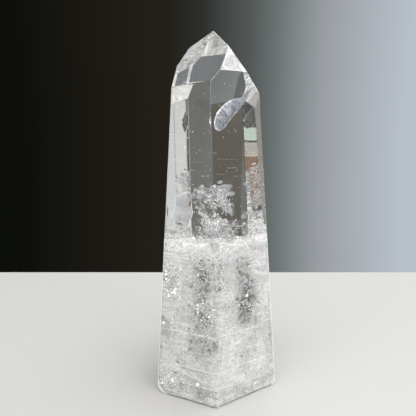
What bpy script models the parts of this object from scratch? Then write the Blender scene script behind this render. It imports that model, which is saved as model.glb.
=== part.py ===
"""A polished clear quartz point: one stone, ground to a six-sided tapering prism under a six-facet tip.

Metres, +Z up. The stone stands on its flat sawn base, with the origin in the middle of its box at the base.
-Y is the front, where the prism shows one upright edge between its two widest faces.
"""

from math import cos, radians, sin
from typing import NamedTuple

import bmesh
import bpy
from mathutils import Vector

MM = 0.001

# Driving dimensions of the rough blank, which every facet then cuts down
BLANK_RADIUS = 32 * MM
BLANK_HEIGHT = 110 * MM
BLANK_SIDES = 6

# Width of the rounding that polishing leaves on every edge, and the facets that make it up
EDGE_ROUNDING = 0.45 * MM
EDGE_SEGMENTS = 2
EDGE_LEAST_ANGLE = radians(24)

# The base corners are worn rounder than the edges
LEFT_CORNER_WEAR = 3.4 * MM
RIGHT_CORNER_WEAR = 2.0 * MM
CORNER_WEAR = 1.3 * MM
CORNER_SEGMENTS = 3
CORNER_REACH = 12 * MM

WELD_DISTANCE = 0.002 * MM


class Facet(NamedTuple):
    """One ground face, given as a lapidary sets it on the lap."""

    turn: float  # degrees round +Z from the front: positive is towards +X
    lean: float  # degrees that the face's normal points above level
    reach: float  # distance of the face from the origin, along its normal


# Each prism face leans in a little, so the stone narrows from base to shoulder
PRISM = {
    "front left": Facet(-32.5, 1.5, 16.2 * MM),
    "front right": Facet(42.0, 2.5, 13.8 * MM),
    "right": Facet(94.0, 3.5, 14.2 * MM),
    "back right": Facet(148.0, 2.5, 17.1 * MM),
    "back left": Facet(-146.0, 0.0, 14.8 * MM),
    "left": Facet(-93.0, 3.0, 14.0 * MM),
}

# The tip's facets sit over the prism's, and the front left one is the largest and the least steep
TIP = {
    "front left": Facet(-35.0, 47.5, 63.4 * MM),
    "front right": Facet(39.5, 34.0, 51.5 * MM),
    "right": Facet(85.0, 34.0, 49.2 * MM),
    "back right": Facet(145.5, 32.0, 51.5 * MM),
    "back left": Facet(-139.5, 26.0, 44.0 * MM),
    "left": Facet(-94.0, 24.0, 41.2 * MM),
}

# Where the worn corners are, as the two prism faces that meet there
LEFT_CORNER = ("left", "front left")
RIGHT_CORNER = ("front right", "right")

QUARTZ_COLOUR = (0.96, 0.96, 0.95, 1.0)
QUARTZ_IOR = 1.544
POLISHED_ROUGHNESS = 0.02


def clear_scene():
    """Remove whatever the scene holds."""
    for old in list(bpy.data.objects):
        bpy.data.objects.remove(old)


def facet_normal(facet):
    """The way a facet faces."""
    turn, lean = radians(facet.turn), radians(facet.lean)
    return Vector((sin(turn) * cos(lean), -cos(turn) * cos(lean), sin(lean)))


def rough_blank():
    """The uncut block, as a six-sided cylinder that stands on the base plane."""
    stone = bmesh.new()
    bmesh.ops.create_cone(
        stone,
        cap_ends=True,
        segments=BLANK_SIDES,
        radius1=BLANK_RADIUS,
        radius2=BLANK_RADIUS,
        depth=BLANK_HEIGHT,
    )
    bmesh.ops.translate(stone, verts=stone.verts, vec=(0, 0, BLANK_HEIGHT / 2))
    return stone


def grind(stone, facet):
    """Cut away all that lies outside one facet, and close the cut with a flat face."""
    normal = facet_normal(facet)
    cut = bmesh.ops.bisect_plane(
        stone,
        geom=stone.verts[:] + stone.edges[:] + stone.faces[:],
        dist=WELD_DISTANCE,
        plane_co=normal * facet.reach,
        plane_no=normal,
        clear_outer=True,
    )
    rim = [part for part in cut["geom_cut"] if isinstance(part, bmesh.types.BMEdge)]
    bmesh.ops.edgeloop_fill(stone, edges=rim)


def base_corner(one, other):
    """The point where two prism faces meet the base."""
    a, b = facet_normal(one), facet_normal(other)
    across = a.x * b.y - a.y * b.x
    return Vector(
        (
            (one.reach * b.y - other.reach * a.y) / across,
            (other.reach * a.x - one.reach * b.x) / across,
            0.0,
        )
    )


def wear_base_corners(stone):
    """Round the corners of the base, the left one of the front most."""
    left = base_corner(*(PRISM[name] for name in LEFT_CORNER))
    right = base_corner(*(PRISM[name] for name in RIGHT_CORNER))
    corners = [v for v in stone.verts if abs(v.co.z) < WELD_DISTANCE]
    for corner in corners:
        wear = CORNER_WEAR
        if (corner.co - left).length < CORNER_REACH:
            wear = LEFT_CORNER_WEAR
        elif (corner.co - right).length < CORNER_REACH:
            wear = RIGHT_CORNER_WEAR
        bmesh.ops.bevel(
            stone,
            geom=[corner],
            offset=wear,
            offset_type="OFFSET",
            segments=CORNER_SEGMENTS,
            profile=0.5,
            affect="VERTICES",
        )


def centre_over_origin(stone):
    """Slide the stone so that its box stands centred on the origin."""
    xs = [v.co.x for v in stone.verts]
    ys = [v.co.y for v in stone.verts]
    middle = Vector(((min(xs) + max(xs)) / 2, (min(ys) + max(ys)) / 2, 0))
    bmesh.ops.translate(stone, verts=stone.verts, vec=-middle)


def quartz_material():
    """Water-clear quartz under a high polish."""
    material = bpy.data.materials.new("clear_quartz")
    material.use_nodes = True
    shader = material.node_tree.nodes["Principled BSDF"]
    shader.inputs["Base Color"].default_value = QUARTZ_COLOUR
    shader.inputs["Roughness"].default_value = POLISHED_ROUGHNESS
    shader.inputs["Metallic"].default_value = 0.0
    shader.inputs["IOR"].default_value = QUARTZ_IOR
    shader.inputs["Transmission Weight"].default_value = 1.0
    return material


def make_quartz_point(collection):
    """The whole stone, as one object."""
    stone = rough_blank()
    for facet in [*PRISM.values(), *TIP.values()]:
        grind(stone, facet)
    wear_base_corners(stone)
    bmesh.ops.remove_doubles(stone, verts=stone.verts, dist=WELD_DISTANCE)
    bmesh.ops.recalc_face_normals(stone, faces=stone.faces)
    centre_over_origin(stone)

    mesh = bpy.data.meshes.new("quartz_point")
    stone.to_mesh(mesh)
    stone.free()
    mesh.materials.append(quartz_material())
    point = bpy.data.objects.new("quartz_point", mesh)
    collection.objects.link(point)

    rounding = point.modifiers.new("polished edges", "BEVEL")
    rounding.width = EDGE_ROUNDING
    rounding.segments = EDGE_SEGMENTS
    rounding.limit_method = "ANGLE"
    rounding.angle_limit = EDGE_LEAST_ANGLE
    return point


def main():
    """Build the stone in a collection of its own."""
    clear_scene()
    collection = bpy.data.collections.new("quartz point")
    bpy.context.scene.collection.children.link(collection)
    make_quartz_point(collection)


main()
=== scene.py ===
"""Dresses a polished quartz point: water-clear at the tip, milky at the foot, with cracks and veils inside.

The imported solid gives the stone's ground form. This script gives it its clear body, the flaws that are sealed
in it, its finish, and a small studio: a pale table, soft light and a dark surround, which clear stone needs
to be seen. Sizes are in millimetres, and MM turns them into metres. The front of the stone faces -Y.
"""

import logging
import math
from dataclasses import dataclass, field
from enum import Enum
from typing import Any

import bpy
import numpy as np
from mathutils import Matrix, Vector


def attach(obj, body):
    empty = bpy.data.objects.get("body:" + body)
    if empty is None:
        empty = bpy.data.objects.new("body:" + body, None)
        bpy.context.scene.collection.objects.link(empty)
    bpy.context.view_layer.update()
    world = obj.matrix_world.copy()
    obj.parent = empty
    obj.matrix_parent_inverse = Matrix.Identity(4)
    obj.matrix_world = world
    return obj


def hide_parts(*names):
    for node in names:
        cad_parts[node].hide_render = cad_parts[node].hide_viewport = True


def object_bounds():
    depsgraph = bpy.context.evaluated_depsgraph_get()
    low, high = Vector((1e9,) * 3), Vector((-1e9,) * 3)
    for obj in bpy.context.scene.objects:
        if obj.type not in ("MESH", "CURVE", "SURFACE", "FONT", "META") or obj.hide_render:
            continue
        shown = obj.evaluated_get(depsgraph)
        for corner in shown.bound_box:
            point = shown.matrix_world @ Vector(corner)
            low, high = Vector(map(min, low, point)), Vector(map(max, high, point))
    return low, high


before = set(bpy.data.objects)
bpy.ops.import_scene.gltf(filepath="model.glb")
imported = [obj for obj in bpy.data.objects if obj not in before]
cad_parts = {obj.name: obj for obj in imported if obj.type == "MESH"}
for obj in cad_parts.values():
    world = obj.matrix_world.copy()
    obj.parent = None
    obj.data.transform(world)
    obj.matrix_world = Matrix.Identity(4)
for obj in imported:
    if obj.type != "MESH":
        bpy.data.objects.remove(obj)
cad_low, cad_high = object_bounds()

MM = 0.001
STONE_NODE = "quartz_point"
ROOT_BODY = "root"

MILKY_TOP = 35.2  # the height where the milky lower part ends, in mm
FACET_LEAST_AREA = 0.6e-6  # smaller packed faces, in square metres, are left out of the stone's facets
CLEARANCE = 0.2  # how far every flaw stays under the polished surface, in mm
SHEET_THICKNESS = 0.04  # how thick a veil or a crack is, in mm
LIGHTS_AIM = 45.0  # the height on the stone's middle line that every light faces, in mm
WAVES_PER_UNIT = 3  # about how many waves a wave texture of scale 1 runs per unit
EDGE_WEAR = "edge_wear"  # the attribute that says how worn each face of the stone is

Pair = tuple[float, float]
Triple = tuple[float, float, float]
Socket = bpy.types.NodeSocket

log = logging.getLogger("quartz_point")


class EdgeWear(Enum):
    """How a face of the stone was finished, as the value that its polish reads there."""

    # Softened faces are tinted grey in the polish: painted shade on the front edge.
    SOFTENED = -1.0
    POLISHED = 0.0
    FROSTED = 1.0


class Lie(Enum):
    """How the flakes of a swarm lie."""

    EVERY_WAY = "every way"
    OUTWARDS = "facing outwards and a little up, where soft light makes them flash"
    FRONTWARDS = "facing the front and a little up"


def srgb(hex_colour: str) -> tuple[float, float, float, float]:
    """Turn an sRGB hex colour into Blender's linear colour.

    Args:
        hex_colour: six hex digits, such as "d8d4cf".

    Returns:
        The colour as linear red, green and blue, with an alpha of 1.
    """
    parts = [int(hex_colour[i : i + 2], 16) / 255 for i in (0, 2, 4)]
    linear = [c / 12.92 if c <= 0.04045 else ((c + 0.055) / 1.055) ** 2.4 for c in parts]
    return (*linear, 1.0)


def add_node(
    tree: bpy.types.NodeTree, kind: str, links: dict[str | int, Socket] | None = None, **settings: Any
) -> bpy.types.Node:
    """Add a node to a tree, with its values and what feeds it.

    Args:
        tree: the node tree.
        kind: Blender's name for the node type.
        links: input name or number, to the output socket that feeds it.
        settings: the node's own properties, and under "values" its input values by name or number.

    Returns:
        The new node.
    """
    node = tree.nodes.new(kind)
    values = settings.pop("values", {})
    for name, value in settings.items():
        setattr(node, name, value)
    for name, value in values.items():
        node.inputs[name].default_value = value
    for name, socket in (links or {}).items():
        tree.links.new(socket, node.inputs[name])
    return node


def span(source: Pair, result: Pair = (0.0, 1.0)) -> dict[str, float]:
    """Give the input values with which a Map Range node turns one range of values into another."""
    names = ("From Min", "From Max", "To Min", "To Max")
    return dict(zip(names, (*source, *result)))


def start_material(name: str) -> tuple[bpy.types.Material, bpy.types.Node, Socket]:
    """Start a material.

    Args:
        name: the material's name.

    Returns:
        The material, its shader node and the object coordinates.
    """
    material = bpy.data.materials.new(name)
    material.use_nodes = True
    where = add_node(material.node_tree, "ShaderNodeTexCoord").outputs["Object"]
    return material, material.node_tree.nodes["Principled BSDF"], where


def select_only(piece: bpy.types.Object | None) -> None:
    """Leave edit mode and make one object, or none, the only one selected and the active one.

    Args:
        piece: the object to select, or None to deselect everything.
    """
    if bpy.context.mode != "OBJECT":
        bpy.ops.object.mode_set(mode="OBJECT")
    bpy.ops.object.select_all(action="DESELECT")
    if piece:
        piece.select_set(True)
        bpy.context.view_layer.objects.active = piece


def apply_modifier(piece: bpy.types.Object, kind: str, **settings: Any) -> None:
    """Add a modifier to a piece and apply it.

    Args:
        piece: the object to change.
        kind: Blender's name for the modifier type.
        settings: the modifier's properties.
    """
    select_only(piece)
    modifier = piece.modifiers.new(kind.lower(), kind)
    for name, value in settings.items():
        setattr(modifier, name, value)
    bpy.ops.object.modifier_apply(modifier=modifier.name)


def points_of(piece: bpy.types.Object) -> np.ndarray:
    """Read a piece's vertices.

    Args:
        piece: the object to read.

    Returns:
        Its points, one in each row.
    """
    flat = np.empty(len(piece.data.vertices) * 3)
    piece.data.vertices.foreach_get("co", flat)
    return flat.reshape(-1, 3)


def move_points(piece: bpy.types.Object, points: np.ndarray) -> None:
    """Put a piece's vertices at new points."""
    piece.data.vertices.foreach_set("co", points.reshape(-1))
    piece.data.update()


def join_as(name: str, pieces: list[bpy.types.Object | None]) -> bpy.types.Object:
    """Join pieces into one.

    Args:
        name: the name of the joined piece.
        pieces: the objects to join; None stands for a piece that has nothing inside the stone.

    Returns:
        The joined object.
    """
    pieces = [piece for piece in pieces if piece]
    select_only(pieces[0])
    for piece in pieces:
        piece.select_set(True)
    if len(pieces) > 1:
        bpy.ops.object.join()
    pieces[0].name = name
    pieces[0].data.name = name
    return pieces[0]


def clouds(name: str, size: float, depth: int = 2) -> bpy.types.Texture:
    """Make a cloud texture that displaces a mesh.

    Args:
        name: the texture's name.
        size: the size of one billow, in mm.
        depth: how many finer billows lie on it.

    Returns:
        The texture.
    """
    texture = bpy.data.textures.new(name, "CLOUDS")
    texture.noise_scale = size * MM
    texture.noise_depth = depth
    return texture


@dataclass(frozen=True)
class Facet:
    """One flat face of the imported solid: the way it faces, and how far it is from the origin along that."""

    normal: Vector
    reach: float


def stone_facets() -> list[Facet]:
    """Read the stone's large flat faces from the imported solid's triangles.

    Returns:
        The facets, largest first: the sides, the base, the tip's facets, the worn edges and corners.
    """
    sums: dict[tuple, tuple] = {}
    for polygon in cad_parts[STONE_NODE].data.polygons:
        key = tuple(round(c, 2) for c in polygon.normal)
        area, normal, reach = sums.get(key, (0.0, Vector(), 0.0))
        share = polygon.area
        sums[key] = (
            area + share,
            normal + polygon.normal * share,
            reach + polygon.normal.dot(polygon.center) * share,
        )
    large = sorted((v for v in sums.values() if v[0] > FACET_LEAST_AREA), key=lambda v: -v[0])
    return [Facet(normal.normalized(), reach / area) for area, normal, reach in large]


def keep_inside(piece: bpy.types.Object, facets: list[Facet], clearance: float, fill: bool = False) -> None:
    """Cut off what a piece has outside the stone's facets.

    Args:
        piece: the object to cut.
        facets: the stone's facets.
        clearance: how far under the facets the cuts lie, in mm.
        fill: whether each cut is closed with a face.
    """
    select_only(piece)
    bpy.ops.object.mode_set(mode="EDIT")
    for facet in facets:
        bpy.ops.mesh.select_all(action="SELECT")
        bpy.ops.mesh.bisect(
            plane_co=facet.normal * (facet.reach - clearance * MM),
            plane_no=facet.normal,
            clear_outer=True,
            use_fill=fill,
        )
    bpy.ops.object.mode_set(mode="OBJECT")


@dataclass(frozen=True)
class PolishedQuartz:
    """Rock crystal, ground flat and lap polished: glass-clear, hard-edged, with faint haze and lap marks."""

    ior: float = 1.544
    tint: str = "fcfcfb"
    smear_size: float = 9.0
    smear_edge: Pair = (0.35, 0.7)
    lap_mark_size: float = 0.35  # real lap marks are finer, and wouldn't show
    lap_mark_depth: float = 0.02
    lap_mark_strength: float = 0.006
    clearest: float = 0.996
    haziest: float = 0.984
    edge_roughness: float = 0.3
    frost: float = 0.75
    frost_fade: float = 4.0
    front_edge_painted_shade: str = "d8d8d8"

    def material(self) -> bpy.types.Material:
        """Make the material.

        The polish left smears that turn about a hundredth of the light milky, which lifts what is dark behind
        the stone. Along the milky part the narrow edges are ground, not polished, and so outline it in white.
        The softened front edge is tinted a little grey: painted shade along the front line.

        Returns:
            The material.
        """
        material, shader, where = start_material("rock_crystal_lap_polished")
        tree = material.node_tree
        smears = add_node(
            tree, "ShaderNodeTexNoise", {"Vector": where},
            values={"Scale": 1 / (self.smear_size * MM), "Detail": 3.0, "Roughness": 0.6, "Distortion": 0.8},
        )
        marks = add_node(
            tree, "ShaderNodeTexNoise", {"Vector": where},
            values={"Scale": 1 / (self.lap_mark_size * MM), "Detail": 2.0, "Roughness": 0.7},
        )
        haze = add_node(
            tree, "ShaderNodeMapRange", {"Value": smears.outputs[0]}, interpolation_type="SMOOTHSTEP",
            values=span(self.smear_edge, (self.clearest, self.haziest)),
        )
        wear = add_node(tree, "ShaderNodeAttribute", attribute_name=EDGE_WEAR).outputs["Fac"]
        height = add_node(tree, "ShaderNodeSeparateXYZ", {0: where}).outputs["Z"]
        low = add_node(
            tree, "ShaderNodeMapRange", {"Value": height}, interpolation_type="SMOOTHSTEP",
            values=span(((MILKY_TOP + self.frost_fade) * MM, MILKY_TOP * MM)),
        )
        worn = add_node(
            tree, "ShaderNodeMath", {0: wear, 1: low.outputs[0]}, operation="MULTIPLY", use_clamp=True
        )
        rough, frost = (
            add_node(tree, "ShaderNodeMath", {0: worn.outputs[0]}, operation="MULTIPLY", values={1: most})
            for most in (self.edge_roughness, self.frost)
        )
        tree.links.new(rough.outputs[0], shader.inputs["Roughness"])
        # Softened faces get a grey base colour: painted shade on the front edge.
        tint = add_node(
            tree, "ShaderNodeMath", {1: wear}, operation="SUBTRACT", values={0: 0.0}, use_clamp=True
        )
        colour = add_node(tree, "ShaderNodeMix", {0: tint.outputs[0]}, data_type="RGBA")
        colour.inputs[6].default_value = srgb(self.tint)
        colour.inputs[7].default_value = srgb(self.front_edge_painted_shade)
        tree.links.new(colour.outputs[2], shader.inputs["Base Color"])
        clear = add_node(tree, "ShaderNodeMath", {1: frost.outputs[0]}, operation="SUBTRACT", values={0: 1.0})
        both = add_node(
            tree, "ShaderNodeMath", {0: haze.outputs[0], 1: clear.outputs[0]}, operation="MULTIPLY"
        )
        tree.links.new(both.outputs[0], shader.inputs["Transmission Weight"])
        bump = add_node(
            tree, "ShaderNodeBump", {"Height": marks.outputs[0]},
            values={"Strength": self.lap_mark_strength, "Distance": self.lap_mark_depth * MM},
        )
        tree.links.new(bump.outputs[0], shader.inputs["Normal"])
        shader.inputs["IOR"].default_value = self.ior
        return material


@dataclass(frozen=True)
class ClearCore:
    """A stretch of the milky part that stayed clear, where the dark surround shows through.

    It is an ellipsoid, with its middle and its half sizes in mm.
    """

    middle: Triple
    half: Triple


CLEAR_CORES = (
    ClearCore((-3.0, -4.0, 25.0), (3.4, 15.0, 9.8)),
    ClearCore((6.0, -3.0, 24.5), (2.9, 15.0, 9.4)),
)


@dataclass(frozen=True)
class HealedVeil:
    """Healed fractures: sheets of tiny bubbles, in clouds and curled threads, and clear between them."""

    name: str
    cloud_size: float = 5.0
    cloud_edge: Pair = (0.44, 0.58)
    thread_size: float = 2.4  # real threads are finer, and wouldn't show
    thread_width: float = 0.022
    thread_middle: float = 0.25
    grain_size: float = 0.4  # real bubbles are far finer, and wouldn't show as grain
    grain_edge: Pair = (0.4, 0.6)
    grain_least: float = 0.6
    thin: float = 0.05
    dense: float = 0.85
    thread: float = 0.6
    streak_share: float = 0.0
    streak_size: float = 1.6
    streak_edge: Pair = (0.42, 0.56)
    streak_squash: Triple = (0.12, 0.12, 1.0)
    fade_above: bool = True
    fade_edge: Pair = (0.4, -0.8)
    cores: tuple[ClearCore, ...] = CLEAR_CORES
    core_left: float = 0.14
    core_ragged: float = 1.3
    core_grain: float = 1.8
    core_edge: Pair = (0.7, 1.2)
    white: str = "fefefe"
    pale: str = "f8f8f6"
    roughness: float = 0.55

    def material(self) -> bpy.types.Material:
        """Make the material.

        Returns:
            The material.
        """
        material, shader, where = start_material(self.name)
        tree = material.node_tree
        patches = add_node(
            tree, "ShaderNodeTexNoise", {"Vector": where},
            values={"Scale": 1 / (self.cloud_size * MM), "Detail": 5.0, "Roughness": 0.6, "Distortion": 0.7},
        )
        grains = add_node(
            tree, "ShaderNodeTexNoise", {"Vector": where},
            values={"Scale": 1 / (self.grain_size * MM), "Detail": 2.0, "Roughness": 0.6},
        )
        cloud = add_node(
            tree, "ShaderNodeMapRange", {"Value": patches.outputs[0]}, interpolation_type="SMOOTHSTEP",
            values=span(self.cloud_edge, (self.thin, self.dense)),
        )
        bubbles = add_node(
            tree, "ShaderNodeMapRange", {"Value": grains.outputs[0]},
            values=span(self.grain_edge, (self.grain_least, 1.0)),
        )
        streaks = [self.streaks(tree, where)] if self.streak_share else []
        alpha = self.thinned(tree, cloud.outputs[0], [bubbles.outputs[0], *streaks])
        threads = add_node(
            tree, "ShaderNodeMath", {0: alpha, 1: self.threads(tree, where)}, operation="MAXIMUM"
        )
        shares = []
        if self.cores:
            wander = self.wander(tree, where)
            shares = [self.opening(tree, where, core, wander) for core in self.cores]
        if self.fade_above:
            height = add_node(tree, "ShaderNodeSeparateXYZ", {0: where}).outputs["Z"]
            top, deep = ((MILKY_TOP + edge) * MM for edge in self.fade_edge)
            fade = add_node(
                tree, "ShaderNodeMapRange", {"Value": height}, interpolation_type="SMOOTHSTEP",
                values=span((top, deep)),
            )
            shares.append(fade.outputs[0])
        tree.links.new(self.thinned(tree, threads.outputs[0], shares), shader.inputs["Alpha"])
        tint = add_node(tree, "ShaderNodeMix", {0: patches.outputs[0]}, data_type="RGBA")
        tint.inputs[6].default_value = srgb(self.white)
        tint.inputs[7].default_value = srgb(self.pale)
        tree.links.new(tint.outputs[2], shader.inputs["Base Color"])
        shader.inputs["Roughness"].default_value = self.roughness
        return material

    def threads(self, tree: bpy.types.NodeTree, where: Socket) -> Socket:
        """Draw thin curled threads, where a noise passes its middle value.

        Args:
            tree: the material's node tree.
            where: the object coordinates.

        Returns:
            How dense the threads are.
        """
        noise = add_node(
            tree, "ShaderNodeTexNoise", {"Vector": where},
            values={
                "Scale": 1 / (self.thread_size * MM), "Detail": 3.0, "Roughness": 0.55, "Distortion": 1.4,
            },
        )
        away = add_node(tree, "ShaderNodeMath", {0: noise.outputs[0]}, operation="SUBTRACT", values={1: 0.5})
        far = add_node(tree, "ShaderNodeMath", {0: away.outputs[0]}, operation="ABSOLUTE")
        return add_node(
            tree, "ShaderNodeMapRange", {"Value": far.outputs[0]}, interpolation_type="SMOOTHSTEP",
            values=span((self.thread_width, self.thread_middle * self.thread_width), (0.0, self.thread)),
        ).outputs[0]

    def thinned(self, tree: bpy.types.NodeTree, cover: Socket, shares: list[Socket]) -> Socket:
        """Thin a cover by each of several shares of it.

        Args:
            tree: the material's node tree.
            cover: what is thinned.
            shares: how much of it each one leaves.

        Returns:
            The cover that is left.
        """
        for share in shares:
            cover = add_node(tree, "ShaderNodeMath", {0: cover, 1: share}, operation="MULTIPLY").outputs[0]
        return cover

    def streaks(self, tree: bpy.types.NodeTree, where: Socket) -> Socket:
        """Draw level streaks, like the growth lines across a crystal's sides.

        Args:
            tree: the material's node tree.
            where: the object coordinates.

        Returns:
            How much of the cloud is left at each place.
        """
        flat = add_node(
            tree, "ShaderNodeVectorMath", {0: where}, operation="MULTIPLY", values={1: self.streak_squash}
        )
        noise = add_node(
            tree, "ShaderNodeTexNoise", {"Vector": flat.outputs[0]},
            values={"Scale": 1 / (self.streak_size * MM), "Detail": 2.0, "Roughness": 0.5},
        )
        return add_node(
            tree, "ShaderNodeMapRange", {"Value": noise.outputs[0]}, interpolation_type="SMOOTHSTEP",
            values=span(self.streak_edge, (1 - self.streak_share, 1.0)),
        ).outputs[0]

    def wander(self, tree: bpy.types.NodeTree, where: Socket) -> Socket:
        """Make the limit of the clear cores ragged.

        Args:
            tree: the material's node tree.
            where: the object coordinates.

        Returns:
            How far the limit lies in or out, as a share of the core.
        """
        noise = add_node(
            tree, "ShaderNodeTexNoise", {"Vector": where},
            values={"Scale": 1 / (self.core_grain * MM), "Detail": 4.0, "Roughness": 0.65},
        )
        return add_node(
            tree, "ShaderNodeMath", {0: noise.outputs[0]}, operation="MULTIPLY_ADD",
            values={1: self.core_ragged, 2: -self.core_ragged / 2},
        ).outputs[0]

    def opening(self, tree: bpy.types.NodeTree, where: Socket, core: ClearCore, wander: Socket) -> Socket:
        """Thin a veil in and around a clear core.

        Args:
            tree: the material's node tree.
            where: the object coordinates.
            core: the clear core.
            wander: how far its limit lies in or out.

        Returns:
            How much of the veil is left.
        """
        away = add_node(
            tree, "ShaderNodeVectorMath", {0: where}, operation="SUBTRACT",
            values={1: tuple(c * MM for c in core.middle)},
        )
        share = add_node(
            tree, "ShaderNodeVectorMath", {0: away.outputs[0]}, operation="MULTIPLY",
            values={1: tuple(1 / (h * MM) for h in core.half)},
        )
        far = add_node(tree, "ShaderNodeVectorMath", {0: share.outputs[0]}, operation="LENGTH")
        ragged = add_node(tree, "ShaderNodeMath", {0: far.outputs["Value"], 1: wander}, operation="ADD")
        return add_node(
            tree, "ShaderNodeMapRange", {"Value": ragged.outputs[0]}, interpolation_type="SMOOTHSTEP",
            values=span(self.core_edge, (self.core_left, 1.0)),
        ).outputs[0]


@dataclass(frozen=True)
class FractureFlake:
    """Small broken faces inside the stone: matt white, or glinting where gas lies in them like a mirror."""

    name: str
    mirror: float
    roughness: float
    colour: str = "fdfdfd"
    spot_size: float = 0.6
    spot_edge: Pair = (0.3, 0.7)
    spot_spread: float = 0.4

    def material(self) -> bpy.types.Material:
        """Make the material.

        Returns:
            The material.
        """
        material, shader, where = start_material(self.name)
        tree = material.node_tree
        spread = self.spot_spread
        spots = add_node(
            tree, "ShaderNodeTexNoise", {"Vector": where},
            values={"Scale": 1 / (self.spot_size * MM), "Detail": 2.0},
        )
        rough = add_node(
            tree, "ShaderNodeMapRange", {"Value": spots.outputs[0]},
            values=span(self.spot_edge, (self.roughness * (1 - spread), self.roughness * (1 + spread))),
        )
        tree.links.new(rough.outputs[0], shader.inputs["Roughness"])
        shader.inputs["Base Color"].default_value = srgb(self.colour)
        shader.inputs["Metallic"].default_value = self.mirror
        return material


@dataclass(frozen=True)
class OpenCrack:
    """An open crack: gas between two broken walls mirrors like silver, whitest at its rim, rippled across."""

    name: str
    middle_alpha: float = 0.85
    rim_alpha: float = 1.0
    middle_tint: str = "c4c6d0"
    rim_tint: str = "ffffff"
    mirror: float = 0.55
    roughness: float = 0.3
    rim_edge: Pair = (0.72, 0.97)
    ripples: float = 9.0
    ripple_depth: float = 0.15
    ripple_strength: float = 0.7
    tear_size: float = 0.0
    tear_edge: Pair = (0.48, 0.54)

    def material(self) -> bpy.types.Material:
        """Make the material. The piece's UV map runs from 0 to 1 across the crack and along it.

        Returns:
            The material.
        """
        material, shader, where = start_material(self.name)
        tree = material.node_tree
        flat = add_node(tree, "ShaderNodeTexCoord").outputs["UV"]
        rim = self.rim(tree, flat)
        tint = add_node(tree, "ShaderNodeMix", {0: rim}, data_type="RGBA")
        tint.inputs[6].default_value = srgb(self.middle_tint)
        tint.inputs[7].default_value = srgb(self.rim_tint)
        tree.links.new(tint.outputs[2], shader.inputs["Base Color"])
        cover = add_node(
            tree, "ShaderNodeMapRange", {"Value": rim},
            values=span((0.0, 1.0), (self.middle_alpha, self.rim_alpha)),
        ).outputs[0]
        if self.tear_size:
            cover = self.torn(tree, where, cover)
        tree.links.new(cover, shader.inputs["Alpha"])
        wave = add_node(
            tree, "ShaderNodeTexWave", {"Vector": flat}, bands_direction="Y",
            values={
                "Scale": self.ripples / WAVES_PER_UNIT, "Distortion": 3.5, "Detail": 3.0, "Detail Scale": 2.0,
            },
        )
        bump = add_node(
            tree, "ShaderNodeBump", {"Height": wave.outputs["Fac"]},
            values={"Strength": self.ripple_strength, "Distance": self.ripple_depth * MM},
        )
        tree.links.new(bump.outputs[0], shader.inputs["Normal"])
        shader.inputs["Metallic"].default_value = self.mirror
        shader.inputs["Roughness"].default_value = self.roughness
        return material

    def rim(self, tree: bpy.types.NodeTree, flat: Socket) -> Socket:
        """Find the crack's edge.

        Args:
            tree: the material's node tree.
            flat: the coordinates across the crack and along it, from 0 to 1.

        Returns:
            A value that rises to 1 along the edge all round.
        """
        centred = add_node(
            tree, "ShaderNodeVectorMath", {0: flat}, operation="MULTIPLY_ADD",
            values={1: (2, 2, 0), 2: (-1, -1, 0)},
        )
        apart = add_node(tree, "ShaderNodeSeparateXYZ", {0: centred.outputs[0]})
        across, along = (
            add_node(tree, "ShaderNodeMath", {0: apart.outputs[axis]}, operation="ABSOLUTE").outputs[0]
            for axis in ("X", "Y")
        )
        most = add_node(tree, "ShaderNodeMath", {0: across, 1: along}, operation="MAXIMUM")
        return add_node(
            tree, "ShaderNodeMapRange", {"Value": most.outputs[0]}, interpolation_type="SMOOTHSTEP",
            values=span(self.rim_edge),
        ).outputs[0]

    def torn(self, tree: bpy.types.NodeTree, where: Socket, cover: Socket) -> Socket:
        """Leave only ragged shreds of the crack.

        Args:
            tree: the material's node tree.
            where: the object coordinates.
            cover: the whole crack's alpha.

        Returns:
            The shreds' alpha.
        """
        shreds = add_node(
            tree, "ShaderNodeTexNoise", {"Vector": where},
            values={"Scale": 1 / (self.tear_size * MM), "Detail": 5.0, "Roughness": 0.7, "Distortion": 1.2},
        )
        left = add_node(
            tree, "ShaderNodeMapRange", {"Value": shreds.outputs[0]}, interpolation_type="SMOOTHSTEP",
            values=span(self.tear_edge),
        )
        shred = add_node(tree, "ShaderNodeMath", {0: cover, 1: left.outputs[0]}, operation="MULTIPLY")
        return shred.outputs[0]


@dataclass(frozen=True)
class RustStain:
    """Iron stain in a crack: a thin brown film, darker where it pooled."""

    name: str = "iron_stain_film"
    light: str = "a07a52"
    dark: str = "5a3826"
    pool_size: float = 0.5
    roughness: float = 0.5

    def material(self) -> bpy.types.Material:
        """Make the material.

        Returns:
            The material.
        """
        material, shader, where = start_material(self.name)
        tree = material.node_tree
        pools = add_node(
            tree, "ShaderNodeTexNoise", {"Vector": where},
            values={"Scale": 1 / (self.pool_size * MM), "Detail": 2.0},
        )
        tint = add_node(tree, "ShaderNodeMix", {0: pools.outputs[0]}, data_type="RGBA")
        tint.inputs[6].default_value = srgb(self.light)
        tint.inputs[7].default_value = srgb(self.dark)
        tree.links.new(tint.outputs[2], shader.inputs["Base Color"])
        shader.inputs["Roughness"].default_value = self.roughness
        return material


@dataclass(frozen=True)
class PaintedBoard:
    """Board with matt emulsion paint: an even pale grey with a faint roller texture."""

    colour: str = "92918f"
    stipple_size: float = 1.2
    stipple_depth: float = 0.05
    stipple_strength: float = 0.15
    roughness: float = 0.6

    def material(self) -> bpy.types.Material:
        """Make the material.

        Returns:
            The material.
        """
        material, shader, where = start_material("board_matt_painted")
        tree = material.node_tree
        stipple = add_node(
            tree, "ShaderNodeTexNoise", {"Vector": where},
            values={"Scale": 1 / (self.stipple_size * MM), "Detail": 3.0},
        )
        bump = add_node(
            tree, "ShaderNodeBump", {"Height": stipple.outputs[0]},
            values={"Strength": self.stipple_strength, "Distance": self.stipple_depth * MM},
        )
        tree.links.new(bump.outputs[0], shader.inputs["Normal"])
        shader.inputs["Base Color"].default_value = srgb(self.colour)
        shader.inputs["Roughness"].default_value = self.roughness
        return material


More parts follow.
